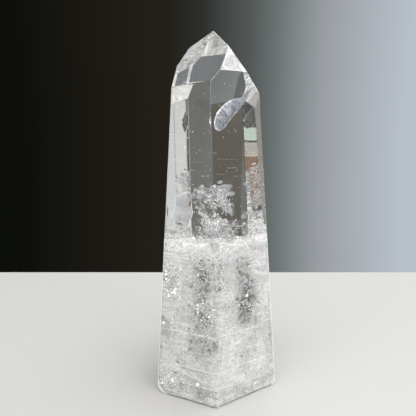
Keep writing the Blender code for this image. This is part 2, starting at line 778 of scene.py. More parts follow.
@dataclass
class Stone:
    """The clear body of the stone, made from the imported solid."""

    merge_distance: float = 0.002
    flat_within: float = 0.4
    smooth_within: float = 40.0
    edge_width: float = 1.0
    front_within: float = 35.0

    def build(self) -> bpy.types.Object:
        """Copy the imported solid, merge it, shade its rounded edges smooth and mark them as worn.

        Returns:
            The stone's body.
        """
        body = bpy.data.objects.new("polished_stone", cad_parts[STONE_NODE].data.copy())
        bpy.context.scene.collection.objects.link(body)
        body.data.materials.clear()
        select_only(body)
        bpy.ops.object.mode_set(mode="EDIT")
        bpy.ops.mesh.select_all(action="SELECT")
        bpy.ops.mesh.remove_doubles(threshold=self.merge_distance * MM)
        bpy.ops.mesh.dissolve_limited(angle_limit=math.radians(self.flat_within))
        bpy.ops.object.mode_set(mode="OBJECT")
        bpy.ops.object.shade_smooth_by_angle(angle=math.radians(self.smooth_within))
        apply_modifier(body, "WEIGHTED_NORMAL", weight=100, keep_sharp=True)
        wear = body.data.attributes.new(EDGE_WEAR, "FLOAT", "FACE")
        wear.data.foreach_set("value", [self.wear_of(body, face).value for face in body.data.polygons])
        self.dress(body)
        return body

    def wear_of(self, body: bpy.types.Object, face: bpy.types.MeshPolygon) -> EdgeWear:
        """Tell a ground edge, which is narrow, from a polished facet; the front edge is only softened.

        Args:
            body: the stone's body.
            face: one of its faces.

        Returns:
            How that face was finished.
        """
        corners = [body.data.vertices[i].co for i in face.vertices]
        around = sum((one - other).length for one, other in zip(corners, corners[1:] + corners[:1]))
        if 2 * face.area / around > self.edge_width * MM:
            return EdgeWear.POLISHED
        if -face.normal.y > math.cos(math.radians(self.front_within)):
            return EdgeWear.SOFTENED
        return EdgeWear.FROSTED

    def dress(self, body: bpy.types.Object) -> None:
        """Give the body its finish and its place in the frame.

        Args:
            body: the stone's body.
        """
        body.data.materials.append(PolishedQuartz().material())
        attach(body, ROOT_BODY)
        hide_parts(STONE_NODE)


@dataclass(frozen=True)
class Tear:
    """One small crack with a place of its own.

    A tilt of 75 to 79 degrees leans its outward side a little up. It then sends light from above out through
    the side in front of it, and so the crack flashes.
    """

    middle: Triple
    tilt: Pair
    width: float
    length: float
    wave: float = 0.5


@dataclass
class Flaws:
    """What every kind of flaw shares: the stone's facets, and how a flaw is finished."""

    facets: list[Facet]
    made: list[bpy.types.Object] = field(default_factory=list)
    # The waves in a sheet's outline: each one's share, its count, and how far the sheet's phase shifts it.
    outline_waves: tuple[tuple[float, int, int], ...] = ((0.6, 2, 1), (0.4, 5, 3))

    def dress(self, piece: bpy.types.Object, material: bpy.types.Material, smooth: bool = True) -> None:
        """Give a flaw its finish, fix it to the stone and note it.

        Args:
            piece: the flaw.
            material: its finish.
            smooth: whether its faces are shaded smooth.
        """
        piece.data.materials.clear()
        piece.data.materials.append(material)
        select_only(piece)
        if smooth:
            bpy.ops.object.shade_smooth()
        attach(piece, ROOT_BODY)
        self.made.append(piece)

    def sheet(
        self,
        middle: Triple,
        tilt: Pair,
        width: float,
        length: float,
        wave: bpy.types.Texture,
        wave_height: float,
        cells: int = 40,
        lobes: float = 0.0,
    ) -> bpy.types.Object | None:
        """Make one thin wavy sheet, cut to the stone.

        Args:
            middle: the sheet's middle, in mm.
            tilt: degrees from level, and degrees round +Z of the side that it dips towards.
            width: its width, in mm.
            length: its length, in mm.
            wave: the texture that bends it.
            wave_height: how far that bends it, in mm.
            cells: how many cells it has each way.
            lobes: how far its outline swings in and out as a share; 0 keeps it a rectangle.

        Returns:
            The sheet, or None where it lies outside the stone.
        """
        select_only(None)
        bpy.ops.mesh.primitive_grid_add(x_subdivisions=cells, y_subdivisions=cells, size=2)
        piece = bpy.context.object
        if lobes:
            move_points(piece, self.lobed(points_of(piece), lobes, middle[0] + middle[2]))
        piece.location = Vector(middle) * MM
        piece.rotation_euler = (math.radians(tilt[0]), 0, math.radians(tilt[1]))
        piece.scale = (width * MM / 2, length * MM / 2, 1)
        bpy.ops.object.transform_apply(location=True, rotation=True, scale=True)
        apply_modifier(piece, "DISPLACE", texture=wave, texture_coords="LOCAL", strength=wave_height * MM)
        keep_inside(piece, self.facets, CLEARANCE)
        if not piece.data.polygons:
            bpy.data.objects.remove(piece)
            return None
        apply_modifier(piece, "SOLIDIFY", thickness=SHEET_THICKNESS * MM, offset=0)
        return piece

    def tear(
        self, tear: Tear, wave: bpy.types.Texture, cells: int = 40, lobes: float = 0.0
    ) -> bpy.types.Object | None:
        """Make the sheet of one small crack; cells and lobes are as in sheet()."""
        return self.sheet(tear.middle, tear.tilt, tear.width, tear.length, wave, tear.wave, cells, lobes)

    def lobed(self, points: np.ndarray, lobes: float, phase: float) -> np.ndarray:
        """Round a square grid off to a disc with an uneven outline.

        Args:
            points: the grid's points, from -1 to 1 each way.
            lobes: how far the outline swings in and out, as a share.
            phase: turns the outline, so that no two sheets are alike.

        Returns:
            The new points.
        """
        x, y = points[:, 0], points[:, 1]
        disc = np.stack([x * np.sqrt(1 - y * y / 2), y * np.sqrt(1 - x * x / 2)], 1)
        turn = np.arctan2(disc[:, 1], disc[:, 0])
        waves = sum(
            share * np.sin(count * turn + shift * phase) for share, count, shift in self.outline_waves
        )
        swing = 1 - lobes + lobes * waves
        return np.column_stack([disc * swing[:, None], points[:, 2]])


@dataclass(frozen=True)
class GrowthLine:
    """A level band of bubbles close under the sides: its height, its width and its stretch along X, in mm."""

    height: float
    width: float
    from_x: float = -20.0
    to_x: float = 20.0


@dataclass
class MilkyPart(Flaws):
    """The milky lower part: veils all through it, curtains and lines behind its sides, beds over the base."""

    seed: int = 11
    veil_count: int = 15
    veil_lowest: float = 3.0
    veil_highest: float = MILKY_TOP - 1
    veil_reach: Pair = (5.0, 8.0)
    veil_tilts: Pair = (10.0, 85.0)
    veil_sizes: Pair = (22.0, 44.0)
    veil_billow: float = 11.0
    veil_wave: float = 4.4
    curtain_depths: tuple[float, ...] = (0.3, 2.6, 5.6)
    curtain_cell: float = 0.8
    curtain_billow: float = 3.0
    curtain_wave: float = 0.4
    curtain_foot: float = 0.35
    block_spare: float = 1.2
    beds: tuple[tuple[float, Pair, float], ...] = (  # each one's height, its tilt and how far it waves
        (0.35, (0.0, 0.0), 0.2),
        (4.0, (1.0, 40.0), 1.0),
    )
    bed_size: float = 40.0
    bed_billow: float = 7.0
    line_depth: float = 0.25
    lines: tuple[GrowthLine, ...] = (
        GrowthLine(15.8, 0.4),
        GrowthLine(7.85, 0.25),
        GrowthLine(34.7, 1.0, -20.0, -6.3),
        GrowthLine(33.8, 0.35, -20.0, -6.0),
        GrowthLine(32.9, 0.45, -20.0, -6.8),
        GrowthLine(32.1, 0.25, -20.0, -7.4),
        GrowthLine(30.7, 0.2, -20.0, -8.0),
        GrowthLine(36.3, 3.8, 8.2, 20.0),
    )

    def build(self) -> None:
        """Build the veils, the curtains, the growth lines and the bed."""
        self.build_veils()
        self.build_curtains()
        self.build_lines()
        self.build_bed()

    def build_veils(self) -> None:
        """Build the veils that cross the milky part every way."""
        rng = np.random.default_rng(self.seed)
        wave = clouds("veil wave", self.veil_billow)
        sheets = []
        for height in np.linspace(self.veil_lowest, self.veil_highest, self.veil_count):
            middle = (*(rng.uniform(-reach, reach) for reach in self.veil_reach), height)
            tilt = (rng.uniform(*self.veil_tilts), rng.uniform(0, 360))
            width, length = (rng.uniform(*self.veil_sizes) for _ in range(2))
            sheets.append(self.sheet(middle, tilt, width, length, wave, self.veil_wave))
        self.dress(join_as("healed_veils", sheets), HealedVeil("healed_fracture_veil").material())

    def build_curtains(self) -> None:
        """Build the veils that hang parallel to the stone's sides, each a tube with a level top edge."""
        wave = clouds("curtain wave", self.curtain_billow)
        tubes = []
        for depth in self.curtain_depths:
            tube = self.inner_block(depth)
            self.open_ends(tube)
            strength = self.curtain_wave * MM
            apply_modifier(tube, "DISPLACE", texture=wave, texture_coords="LOCAL", strength=strength)
            self.level_top(tube)
            apply_modifier(tube, "SOLIDIFY", thickness=SHEET_THICKNESS * MM, offset=0)
            tubes.append(tube)
        piece = join_as("side_curtains", tubes)
        finish = HealedVeil(
            "healed_fracture_curtain",
            cloud_size=6.0,
            cloud_edge=(0.4, 0.6),
            thread_size=1.1,
            thread_width=0.03,
            grain_size=0.28,
            thin=0.12,
            dense=0.62,
            thread=0.7,
            streak_share=0.4,
            streak_size=1.0,
            fade_above=False,
        )
        self.dress(piece, finish.material())

    def build_lines(self) -> None:
        """Build the growth lines, each a low tube or a part of one."""
        tubes = []
        for line in self.lines:
            tube = self.inner_block(self.line_depth)
            select_only(tube)
            bpy.ops.object.mode_set(mode="EDIT")
            low, high = line.height - line.width / 2, line.height + line.width / 2
            cuts = (((0, 0, low), (0, 0, -1)), ((0, 0, high), (0, 0, 1)))
            cuts += (((line.from_x, 0, 0), (-1, 0, 0)), ((line.to_x, 0, 0), (1, 0, 0)))
            for place, way in cuts:
                bpy.ops.mesh.select_all(action="SELECT")
                bpy.ops.mesh.bisect(plane_co=tuple(p * MM for p in place), plane_no=way, clear_outer=True)
            bpy.ops.object.mode_set(mode="OBJECT")
            apply_modifier(tube, "SOLIDIFY", thickness=SHEET_THICKNESS * MM, offset=0)
            tubes.append(tube)
        finish = HealedVeil(
            "healed_growth_line",
            cloud_size=1.4,
            cloud_edge=(0.34, 0.5),
            thin=0.42,
            dense=0.97,
            thread=0.0,
            fade_above=False,
            cores=(),
        )
        self.dress(join_as("growth_lines", tubes), finish.material())

    def inner_block(self, depth: float) -> bpy.types.Object:
        """Make a closed block with the stone's own form.

        Args:
            depth: how far it is drawn in, in mm.

        Returns:
            The block.
        """
        select_only(None)
        size = [high - low for low, high in zip(cad_low, cad_high)]
        bpy.ops.mesh.primitive_cube_add(size=1, location=(0, 0, size[2] / 2))
        block = bpy.context.object
        block.scale = tuple(self.block_spare * s for s in size)
        bpy.ops.object.transform_apply(location=True, rotation=True, scale=True)
        keep_inside(block, self.facets, depth, fill=True)
        return block

    def open_ends(self, block: bpy.types.Object) -> None:
        """Cut a closed block to the milky part's height and give its walls small cells.

        Args:
            block: the block, which becomes an open tube.
        """
        select_only(block)
        bpy.ops.object.mode_set(mode="EDIT")
        top = (MILKY_TOP + 2 * self.curtain_wave) * MM
        for height, way in ((top, 1), (self.curtain_foot * MM, -1)):
            bpy.ops.mesh.select_all(action="SELECT")
            bpy.ops.mesh.bisect(plane_co=(0, 0, height), plane_no=(0, 0, way), clear_outer=True)
        self.cut_in_slices()
        bpy.ops.object.mode_set(mode="OBJECT")

    def cut_in_slices(self) -> None:
        """Cut the walls of the block that is in edit mode into cells, along X, Y and Z."""
        for axis in range(3):
            low, high = cad_low[axis], cad_high[axis] if axis < 2 else MILKY_TOP * MM
            way = tuple(float(axis == i) for i in range(3))
            for place in np.arange(low, high, self.curtain_cell * MM)[1:]:
                bpy.ops.mesh.select_all(action="SELECT")
                bpy.ops.mesh.bisect(plane_co=tuple(place * w for w in way), plane_no=way)

    def level_top(self, tube: bpy.types.Object) -> None:
        """Cut a tube's top edge level and cut what has waved out of the stone."""
        top = Facet(Vector((0, 0, 1)), (MILKY_TOP + CLEARANCE) * MM)
        keep_inside(tube, [top, *self.facets], CLEARANCE)

    def build_bed(self) -> None:
        """Build the dense veils that lie nearly level over the base."""
        wave = clouds("bed wave", self.bed_billow)
        sheets = [
            self.sheet((0, 0, height), tilt, self.bed_size, self.bed_size, wave, wave_height)
            for height, tilt, wave_height in self.beds
        ]
        finish = HealedVeil("healed_fracture_bed", thin=0.85, dense=1.0, cloud_size=3.0)
        self.dress(join_as("base_bed", sheets), finish.material())


MATT = FractureFlake("fracture_flake", 0.0, 0.35)
GLINT = FractureFlake("gas_film_glint", 1.0, 0.16)
# Grey half-mirror flakes: painted shade, standing in for gas films that turn a dark side to the light.
PAINTED_SHADE_FLAKE = FractureFlake("gas_film_painted_shade", 0.6, 0.3, "6f6d69")
# Dark grey shards: painted shade that darkens the clear cores and the foot.
PAINTED_SHADE_SHARD = FractureFlake("gas_film_shard_painted_shade", 0.75, 0.2, "6b6965")
PIN_SPECK = FractureFlake("pin_speck", 0.0, 0.3)
SIDE_SPECK = FractureFlake("side_speck", 0.3, 0.3)
TORN_FLAKE = FractureFlake("torn_flake", 0.2, 0.3)

FRONT = Lie.FRONTWARDS
# From how deep to how deep a swarm lies under the surface, in mm.
CLOSEST, CLOSE, NEAR, UNDER = ((CLEARANCE, deepest) for deepest in (0.9, 1.0, 1.2, 2.0))
EVERY_DEPTH = (2 * CLEARANCE, 20.0)


@dataclass(frozen=True)
class Swarm:
    """A swarm of flakes: how many, how large, the box and the depths that they lie in, and how they lie."""

    name: str
    count: int
    size: float
    low: Triple
    high: Triple
    finish: FractureFlake
    lie: Lie = Lie.EVERY_WAY
    depths: Pair = EVERY_DEPTH


@dataclass
class Flakes(Flaws):
    """The small broken faces in the stone, each swarm one mesh."""

    seed: int = 12
    spread: float = 0.45
    narrowest: float = 0.4
    flatness: float = 0.12
    largest: float = 2.2
    flash_lift: float = 13.0
    flash_spread: float = 7.0
    front_turn: float = 6.0
    front_spread: float = 22.0
    swarms: tuple[Swarm, ...] = (
        Swarm("fracture_flakes", 3200, 0.12, (-15, -19, 0.6), (15, 19, 35.8), MATT),
        Swarm("bright_glints", 1100, 0.24, (-15, -19, 1), (15, 19, 36), GLINT, Lie.OUTWARDS),
        # painted shade: grey flakes that mottle the milky part darker
        Swarm("painted_shade_gas_flakes", 1500, 0.2, (-15, -19, 1), (15, 19, 35.5), PAINTED_SHADE_FLAKE),
        Swarm("surface_glints", 420, 0.15, (-15, -19, 1), (15, 0, 35.5), GLINT, FRONT, CLOSEST),
        Swarm("left_cluster_glints", 260, 0.23, (-13.2, -13, 23.5), (-8.4, -9, 31), GLINT, FRONT, CLOSE),
        Swarm("foot_glints", 60, 0.26, (-13.5, -14.5, 2), (-5.5, -9, 6.5), GLINT, FRONT, CLOSE),
        Swarm("core_glints", 80, 0.24, (-5.5, -17.5, 18), (-0.5, -13, 25), GLINT, FRONT, NEAR),
        # painted shade: dark grey shards in the two clear cores
        Swarm("left_core_painted_shade_shards", 560, 0.3, (-6.6, -17, 16.5), (0.2, -9, 34), PAINTED_SHADE_SHARD),
        Swarm("right_core_painted_shade_shards", 460, 0.3, (3.8, -14, 16.5), (9, -5, 33), PAINTED_SHADE_SHARD),
        Swarm("clear_part_specks", 170, 0.09, (-14, -18, 38), (14, 18, 76), PIN_SPECK),
        Swarm("right_side_specks", 110, 0.11, (5.5, -9, 41), (14, 3, 58), SIDE_SPECK),
        Swarm("torn_zone_flakes", 260, 0.12, (-5.4, -15.5, 36.6), (3, -8.5, 49.5), TORN_FLAKE),
        Swarm("left_cluster_flakes", 800, 0.16, (-13.4, -13.5, 23.5), (-8.4, -8.5, 31.5), MATT, depths=CLOSE),
        Swarm("foot_flakes", 800, 0.16, (-14, -15, 1), (-5, -9, 7), MATT, depths=CLOSE),
        # painted shade: dark grey shards at the foot
        Swarm("foot_painted_shade_shards", 170, 0.22, (-6.5, -17.5, 9.5), (-0.5, -11, 15), PAINTED_SHADE_SHARD, depths=UNDER),
    )

    def build(self) -> None:
        """Build every swarm."""
        rng = np.random.default_rng(self.seed)
        unit, faces = self.grain()
        for swarm in self.swarms:
            places = self.places(rng, swarm)
            points = self.shapes(rng, swarm, unit) + places[:, None]
            corners = faces[None] + (np.arange(swarm.count) * len(unit))[:, None, None]
            mesh = bpy.data.meshes.new(swarm.name)
            mesh.from_pydata(points.reshape(-1, 3), [], corners.reshape(-1, 3).tolist())
            piece = bpy.data.objects.new(swarm.name, mesh)
            bpy.context.scene.collection.objects.link(piece)
            made = bpy.data.materials.get(swarm.finish.name)
            self.dress(piece, made or swarm.finish.material(), smooth=False)

    def grain(self) -> tuple[np.ndarray, np.ndarray]:
        """Model the one grain that every flake copies.

        Returns:
            Its points, with a radius of 1, and the point numbers of its faces.
        """
        select_only(None)
        bpy.ops.mesh.primitive_ico_sphere_add(subdivisions=1, radius=1)
        grain = bpy.context.object
        points = points_of(grain)
        faces = np.array([p.vertices[:] for p in grain.data.polygons])
        bpy.data.objects.remove(grain)
        return points, faces

    def places(self, rng: np.random.Generator, swarm: Swarm) -> np.ndarray:
        """Draw a place inside the stone for each flake of a swarm.

        Args:
            rng: where the random numbers come from.
            swarm: the swarm.

        Returns:
            The places, in metres.
        """
        normals = np.array([f.normal for f in self.facets])
        reaches = np.array([f.reach for f in self.facets])
        found: list[np.ndarray] = []
        while len(found) < swarm.count:
            place = rng.uniform(swarm.low, swarm.high) * MM
            if swarm.depths[0] * MM < (reaches - normals @ place).min() < swarm.depths[1] * MM:
                found.append(place)
        return np.array(found)

    def shapes(self, rng: np.random.Generator, swarm: Swarm, unit: np.ndarray) -> np.ndarray:
        """Squash and turn the grain for each flake of a swarm.

        Args:
            rng: where the random numbers come from.
            swarm: the swarm.
            unit: the grain's points.

        Returns:
            The points of every flake around its own place.
        """
        size = rng.lognormal(math.log(swarm.size * MM), self.spread, swarm.count)
        size = np.minimum(size, self.largest * swarm.size * MM)
        scale = np.stack([size, size * rng.uniform(self.narrowest, 1, swarm.count), size * self.flatness], 1)
        out = rng.normal(size=(swarm.count, 3))
        if swarm.lie is not Lie.EVERY_WAY:
            turn = rng.uniform(0, 2 * math.pi, swarm.count)
            if swarm.lie is Lie.FRONTWARDS:
                turn = np.radians(rng.normal(self.front_turn, self.front_spread, swarm.count))
            lift = np.radians(rng.normal(self.flash_lift, self.flash_spread, swarm.count))
            out = np.stack([np.sin(turn) * np.cos(lift), -np.cos(turn) * np.cos(lift), np.sin(lift)], 1)
        out /= np.linalg.norm(out, axis=1)[:, None]
        side = np.cross(out, rng.normal(size=(swarm.count, 3)))
        side /= np.linalg.norm(side, axis=1)[:, None]
        turned = np.stack([side, np.cross(out, side), out], 2)
        return np.einsum("nij,nkj->nki", turned, unit[None] * scale[:, None])


@dataclass
class FeatherCrack(Flaws):
    """The long silvery crack under the tip, shaped like a feather: a narrow quill, then a leaf."""

    spine: tuple[Triple, ...] = (
        (9.1, -5.9, 74.8),
        (7.1, -7.3, 72.0),
        (5.7, -8.3, 69.9),
        (4.3, -9.5, 68.9),
        (2.9, -10.6, 67.8),
        (1.4, -12.0, 66.1),
        (0.4, -13.1, 64.4),
        (-0.3, -13.8, 63.2),
        (-0.7, -14.2, 62.4),
    )
    half_widths: tuple[float, ...] = (0.5, 0.5, 0.75, 1.4, 1.75, 1.95, 1.8, 1.2, 0.3)
    least_half_width: float = 0.02
    face: Triple = (0.66, -0.74, 0.12)
    cup: float = 0.5
    # Each ripple's count along the leaf, its lean across it, and its height as a share of the half width.
    ripples: tuple[Triple, ...] = ((7, 2.5, 0.07), (11.3, -1.8, 0.05), (19.7, 3.1, 0.035))
    step_ahead: float = 0.01
    cells: tuple[int, int] = (20, 90)
    # Below this height, in mm, the crack's back side gets the darker film: painted shade.
    painted_shade_below: float = 69.3

    def build(self) -> None:
        """Build the crack as a cupped, rippled leaf, with a darker back side below a set height as painted
        shade.
        """
        select_only(None)
        across, along = self.cells
        bpy.ops.mesh.primitive_grid_add(x_subdivisions=across, y_subdivisions=along, size=2)
        piece = bpy.context.object
        move_points(piece, self.leaf(points_of(piece)))
        keep_inside(piece, self.facets, CLEARANCE)
        front = OpenCrack(
            "feather_crack_gas_film",
            middle_alpha=0.9,
            middle_tint="b2b5bf",
            mirror=0.6,
            roughness=0.24,
            ripples=14.0,
            ripple_depth=0.25,
        )
        # The back side is a darker copy of the film: painted shade where the crack shows a dark side.
        back = OpenCrack(
            "feather_crack_painted_shade_side",
            middle_alpha=0.9,
            middle_tint="7d776e",
            rim_tint="989188",
            mirror=0.6,
            roughness=0.2,
            ripples=14.0,
        )
        piece = join_as("feather_crack", [piece])
        self.dress(piece, front.material())
        piece.data.materials.append(back.material())
        apply_modifier(piece, "SOLIDIFY", thickness=SHEET_THICKNESS * MM, offset=0, material_offset=1)
        for polygon in piece.data.polygons:
            if polygon.center.z > self.painted_shade_below * MM:
                polygon.material_index = 0

    def leaf(self, grid: np.ndarray) -> np.ndarray:
        """Lay a square grid along the spine.

        Args:
            grid: the grid's points, from -1 to 1 across and along.

        Returns:
            The leaf's points, in metres.
        """
        across, along = grid[:, 0], (grid[:, 1] + 1) / 2
        knots = np.linspace(0, 1, len(self.spine))
        spine, ahead = (
            np.stack([smooth_curve(at, knots, [p[i] for p in self.spine]) for i in range(3)], 1)
            for at in (along, along + self.step_ahead)
        )
        ahead -= spine
        ahead /= np.linalg.norm(ahead, axis=1)[:, None]
        half = np.maximum(smooth_curve(along, knots, self.half_widths), self.least_half_width)
        side = np.cross(ahead, np.array(self.face))
        side /= np.linalg.norm(side, axis=1)[:, None]
        lift = self.cup * half * across**2
        for count, lean, share in self.ripples:
            lift += share * half * np.sin(2 * math.pi * count * along + lean * across + count)
        return (spine + side * (across * half)[:, None] - np.array(self.face) * lift[:, None]) * MM


def smooth_curve(at: np.ndarray, knots: np.ndarray, values: list[float] | tuple[float, ...]) -> np.ndarray:
    """Read a smooth curve through values, with slopes that never overshoot between two knots.

    Args:
        at: where to read it.
        knots: where the values stand, evenly spaced.
        values: the values.

    Returns:
        The curve's value at each place.
    """
    given = np.array(values, dtype=float)
    slopes = np.gradient(given)
    place = np.clip(at, 0, 1) * (len(knots) - 1)
    low = np.minimum(place.astype(int), len(knots) - 2)
    t = place - low
    h00, h10 = 2 * t**3 - 3 * t**2 + 1, t**3 - 2 * t**2 + t
    h01, h11 = -2 * t**3 + 3 * t**2, t**3 - t**2
    return h00 * given[low] + h10 * slopes[low] + h01 * given[low + 1] + h11 * slopes[low + 1]


@dataclass
class SideLens(Flaws):
    """The smooth lens-shaped crack behind the left side, with iron stain at three places on its rim."""

    billow: float = 6.0
    lens: Tear = Tear((-7.4, -8.6, 43.9), (76.0, -34.0), 7.4, 10.2, 0.8)
    lens_lobes: float = 0.16
    stain_cells: int = 8
    stain_lobes: float = 0.1
    stains: tuple[Tear, ...] = (
        Tear((-6.1, -11.8, 45.8), (84.0, -30.0), 0.6, 1.6, 0.1),
        Tear((-8.5, -10.0, 40.9), (80.0, -30.0), 1.6, 0.6, 0.1),
        Tear((-11.3, -7.2, 43.6), (86.0, -40.0), 0.35, 2.8, 0.1),
    )

    def build(self) -> None:
        """Build the lens and its stains."""
        wave = clouds("lens wave", self.billow, 1)
        piece = self.tear(self.lens, wave, lobes=self.lens_lobes)
        finish = OpenCrack(
            "lens_crack_gas_film",
            middle_alpha=0.27,
            rim_alpha=0.75,
            middle_tint="c9ccd1",
            mirror=0.25,
            rim_edge=(0.9, 0.97),
            ripples=2.0,
            ripple_depth=0.05,
        )
        self.dress(join_as("side_lens_crack", [piece]), finish.material())
        spots = [self.tear(stain, wave, self.stain_cells, self.stain_lobes) for stain in self.stains]
        self.dress(join_as("iron_stains", spots), RustStain().material())


@dataclass(frozen=True)
class Knot:
    """A knot of torn cracks: its middle and half size, how many, and from how large to how large, in mm."""

    middle: Triple
    half: Triple
    count: int
    sizes: Pair


@dataclass
class TornZone(Flaws):
    """The torn cracks above the milky part, and the single bright, thin and dark ones that stand out."""

    seed: int = 21
    crumple_size: float = 2.0
    crumple: float = 1.3
    torn_tilts: Pair = (45, 95)
    torn_turns: Pair = (-60, 60)
    torn_cells: int = 27
    torn_lobes: float = 0.3
    tear_cells: int = 16
    tear_lobes: float = 0.2
    knots: tuple[Knot, ...] = (
        Knot((-0.7, -12.2, 43.6), (3.2, 1.8, 5.2), 26, (2.4, 5.6)),
        Knot((2.8, -11.0, 39.0), (5.0, 2.2, 2.2), 18, (2.0, 4.0)),
        Knot((-5.8, -12.0, 40.0), (2.0, 1.0, 3.6), 5, (1.4, 2.6)),
        Knot((6.2, -9.3, 40.2), (1.7, 1.0, 3.6), 8, (1.2, 2.8)),
    )
    bright: tuple[Tear, ...] = (
        Tear((0.7, -13.0, 49.7), (76.0, 10.0), 4.4, 1.2, 0.5),
        Tear((-0.1, -13.4, 50.7), (66.0, 20.0), 1.8, 1.0, 0.5),
        Tear((-4.0, -13.4, 47.4), (77.0, -8.0), 2.0, 1.2, 0.6),
        Tear((2.6, -11.6, 48.0), (77.0, 22.0), 2.4, 1.4, 0.6),
        Tear((2.4, -12.0, 44.3), (78.0, 24.0), 1.3, 2.8, 0.4),
        Tear((3.2, -11.5, 41.0), (77.0, 21.0), 1.0, 1.8, 0.5),
        Tear((4.6, -10.4, 40.4), (60.0, 40.0), 2.4, 0.3, 0.1),
        Tear((4.4, -10.6, 39.9), (60.0, 40.0), 2.0, 0.25, 0.1),
        Tear((-3.9, -14.2, 38.3), (62.0, -50.0), 2.2, 0.3, 0.1),
        Tear((-2.3, -15.2, 38.5), (62.0, 35.0), 2.2, 0.3, 0.1),
        Tear((-0.6, -15.6, 36.5), (76.0, 4.0), 2.2, 1.6, 0.6),
        Tear((2.0, -13.6, 32.5), (77.0, 21.0), 1.6, 2.2, 0.8),
        Tear((5.0, -11.4, 32.0), (77.0, 21.0), 3.0, 0.35, 0.2),
        Tear((8.0, -8.7, 32.7), (77.0, 21.0), 2.6, 0.4, 0.2),
        Tear((-10.7, -10.9, 28.7), (77.0, -8.0), 2.6, 2.0, 0.9),
        Tear((-9.6, -11.7, 30.0), (76.0, -12.0), 1.4, 0.9, 0.6),
        Tear((-11.6, -10.4, 25.0), (77.0, -8.0), 1.2, 1.8, 0.8),
        Tear((-9.0, -12.2, 26.4), (77.0, -8.0), 0.8, 0.7, 0.4),
        Tear((-3.3, -15.6, 21.8), (77.0, -8.0), 1.3, 0.8, 0.5),
        Tear((-2.2, -16.3, 20.6), (77.0, -8.0), 1.5, 0.9, 0.5),
        Tear((-6.3, -13.7, 22.4), (77.0, -8.0), 0.9, 0.8, 0.4),
        Tear((3.8, -12.7, 25.2), (77.0, 21.0), 1.2, 1.0, 0.5),
        Tear((5.0, -11.7, 24.0), (77.0, 21.0), 0.8, 1.1, 0.4),
        Tear((7.5, -9.3, 26.6), (77.0, 21.0), 0.5, 1.4, 0.3),
        Tear((6.0, -10.6, 28.3), (77.0, 21.0), 0.4, 2.0, 0.3),
        Tear((-11.6, -11.0, 2.9), (77.0, -10.0), 1.4, 0.7, 0.3),
        Tear((-11.4, -11.1, 4.6), (77.0, -10.0), 1.5, 0.5, 0.3),
        Tear((-7.6, -13.7, 3.7), (77.0, -10.0), 1.2, 1.6, 0.5),
        Tear((6.0, -8.5, 69.2), (76.0, 55.0), 0.5, 1.2, 0.2),
        Tear((6.0, -8.6, 67.4), (74.0, 55.0), 0.4, 1.6, 0.2),
        Tear((6.1, -8.6, 65.4), (76.0, 55.0), 0.5, 1.2, 0.2),
        Tear((6.5, -8.4, 57.8), (70.0, 50.0), 0.7, 1.7, 0.3),
        Tear((6.5, -9.0, 50.3), (77.0, 24.0), 1.5, 1.3, 0.4),
        Tear((7.2, -8.4, 48.8), (77.0, 22.0), 1.7, 1.0, 0.4),
        Tear((7.5, -8.4, 45.3), (77.0, 24.0), 1.5, 1.2, 0.5),
        Tear((7.6, -8.4, 43.8), (77.0, 22.0), 1.4, 0.8, 0.4),
        Tear((7.7, -8.4, 42.6), (77.0, 24.0), 1.2, 0.7, 0.4),
    )
    thin: tuple[Tear, ...] = (
        Tear((2.0, -12.4, 56.0), (74.0, 42.0), 7.4, 0.22, 0.8),
        Tear((-1.0, -14.9, 57.3), (74.0, 30.0), 2.6, 0.25, 0.6),
        Tear((-4.6, -13.6, 55.3), (74.0, -33.0), 4.0, 0.2, 0.8),
        Tear((3.0, -11.7, 54.0), (74.0, 42.0), 4.6, 0.25, 1.0),
        Tear((0.6, -13.8, 52.6), (74.0, 40.0), 3.6, 0.3, 1.0),
        Tear((-6.2, -12.6, 53.5), (74.0, -33.0), 3.0, 0.25, 0.8),
        Tear((4.4, -10.4, 52.1), (74.0, 42.0), 3.6, 0.3, 1.0),
        Tear((-2.8, -14.8, 52.2), (74.0, -33.0), 3.2, 0.3, 1.0),
        Tear((-3.9, -13.9, 58.0), (74.0, -33.0), 1.6, 0.2, 0.5),
        Tear((8.2, -6.9, 58.6), (74.0, 60.0), 3.2, 0.3, 0.5),
    )
    # The dark cracks are painted shade: dark grey films that stand in for the shade seen in them.
    dark: tuple[Tear, ...] = (
        Tear((3.6, -14.4, 9.6), (87.0, 42.0), 2.2, 0.3, 0.05),
        Tear((5.5, -12.7, 9.9), (87.0, 42.0), 1.8, 0.3, 0.05),
        Tear((8.2, -10.3, 8.9), (87.0, 42.0), 1.2, 0.35, 0.05),
        Tear((9.2, -9.4, 10.0), (87.0, 42.0), 1.1, 0.4, 0.05),
        Tear((-9.4, -12.9, 8.6), (87.0, -33.0), 1.2, 0.4, 0.05),
        Tear((-10.0, -12.6, 5.8), (87.0, -33.0), 1.0, 0.6, 0.05),
        Tear((11.4, -7.4, 17.6), (87.0, 42.0), 0.7, 0.6, 0.05),
    )
    yellow: tuple[Tear, ...] = (
        Tear((-5.8, -13.9, 25.0), (77.0, -10.0), 1.1, 0.5, 0.2),
        Tear((-5.4, -14.2, 26.4), (77.0, -10.0), 0.8, 0.3, 0.2),
        Tear((-6.0, -13.8, 24.3), (77.0, -10.0), 0.5, 0.4, 0.2),
    )

